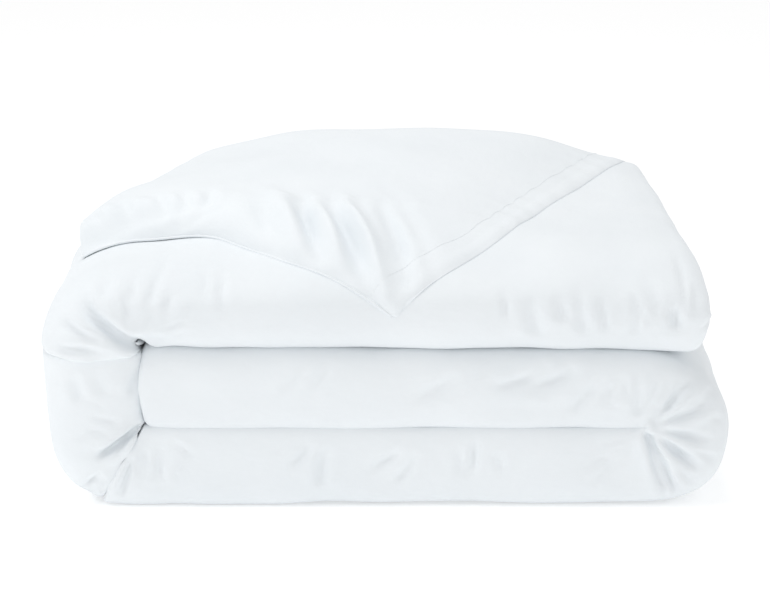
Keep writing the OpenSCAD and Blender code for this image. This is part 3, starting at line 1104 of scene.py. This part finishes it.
satin, nodes, links, shader = fresh_material("label_satin")
ribs = object_noise(nodes, links, 700, 1, (0.15, 1, 3))
links.new(tinted(nodes, links, ribs, (0.84, 0.85, 0.86), (0.92, 0.93, 0.94)), shader.inputs["Base Color"])
links.new(spread_of(nodes, links, ribs, 0.30, 0.48), shader.inputs["Roughness"])
links.new(bumped(nodes, links, ribs, 0.00008), shader.inputs["Normal"])
shader.inputs["Sheen Weight"].default_value = 0.3

finishes = (
    (cotton, "cover_cotton", [lower, wrap, upper, flap, side_seam, lower_seam, wrap_seam, upper_seam]),
    (thread_white, "tape_cotton", [hem_thread, *button_threads]),
    (pearl, "button_plastic", buttons),
    (satin, "label_satin", [label]),
)
for material, slot, pieces in finishes:
    for piece in pieces:
        piece.data.materials.append(material)

# %% [markdown]
# ### What moves with what
#
# The pile opens like a book: the top layer turns up on the crease of the left end, the left end opens
# away from the bottom, and the corner turns back on its fold. Here the lower layer, its back seam and
# the label are attached to the lower stack, and the buttons with their threads to the corner flap; the
# other pieces only have their transforms baked.

# %% Attaching to bodies
def rides_with_wrap(piece):
    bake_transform(piece)


def rides_with_upper(piece):
    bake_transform(piece)


def rides_with_flap(piece):
    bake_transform(piece)


def nodes_of(*beginnings):
    """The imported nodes, seams apart, whose names begin in one of these ways."""
    return [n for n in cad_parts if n.startswith(beginnings) and not n.endswith("seam")]


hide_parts(*nodes_of("bottom", "middle", "right"))
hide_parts(*nodes_of("lower_left", "left_side"))
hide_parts(*nodes_of("top_layer", "upper_left"))
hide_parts(*nodes_of("flap", "hem_u", "hem_l", "corner"))
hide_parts("flap_side_seam")
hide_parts("bottom_back_seam", "middle_back_seam")
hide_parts("top_back_seam")
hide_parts("hem_buttons")
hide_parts("care_label")
for piece in (lower, lower_seam, label):
    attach(piece, "lower_stack")
for piece in (wrap, wrap_seam):
    rides_with_wrap(piece)
for piece in (upper, upper_seam):
    rides_with_upper(piece)
for piece in (flap, side_seam, hem_thread):
    rides_with_flap(piece)
for piece in (*buttons, *button_threads):
    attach(piece, "corner_flap")

# %% [markdown]
# ### Camera, floor and light
#
# The pile is looked at from the front, from a little above and from some way off, so that its edges
# stay nearly parallel. A large soft light overhead and a smaller one from the left make the creases
# readable, and a bright even sky keeps every shadow pale, as for goods shown on white.

# %% Camera
TILT = math.radians(17)
DISTANCE = 2.70
VIEW_WIDTH = 0.785
aim = Vector((0.0, FRONT, 0.16))
camera_data = bpy.data.cameras.new("Camera")
camera = bpy.data.objects.new("Camera", camera_data)
scene.collection.objects.link(camera)
camera.location = aim + Vector((0, -math.cos(TILT), math.sin(TILT))) * DISTANCE
camera.rotation_euler = (math.pi / 2 - TILT, 0, 0)
camera_data.sensor_width = 36
camera_data.lens = 36 * DISTANCE / VIEW_WIDTH
camera_data.shift_x = -0.0026
camera_data.shift_y = 0.0700
scene.camera = camera

# %% Floor and light
scene.view_settings.view_transform = "Standard"
world = bpy.data.worlds.new("Studio")
scene.world = world
world.use_nodes = True
world.node_tree.nodes["Background"].inputs["Color"].default_value = (1, 1, 1, 1)
world.node_tree.nodes["Background"].inputs["Strength"].default_value = 0.75


def softbox(name, place, size, energy):
    data = bpy.data.lights.new(name, "AREA")
    data.energy = energy
    data.size = size
    lamp = bpy.data.objects.new(name, data)
    lamp.location = place
    lamp.rotation_euler = (Vector((0, 0, 0.1)) - lamp.location).to_track_quat("-Z", "Y").to_euler()
    scene.collection.objects.link(lamp)
    return lamp


softbox("overhead", (-0.3, -0.1, 2.2), 1.4, 12)
softbox("key", (-1.8, -0.8, 1.3), 0.9, 5)

bpy.ops.mesh.primitive_plane_add(size=12, location=(0, 0, -0.001))
floor = bpy.context.object
floor.name = "floor"
floor_look, nodes, links, shader = fresh_material("studio_floor")
shader.inputs["Base Color"].default_value = (0.95, 0.95, 0.95, 1)
shader.inputs["Roughness"].default_value = 1
shader.inputs["Emission Color"].default_value = (1, 1, 1, 1)
shader.inputs["Emission Strength"].default_value = 0.24
floor.data.materials.append(floor_look)
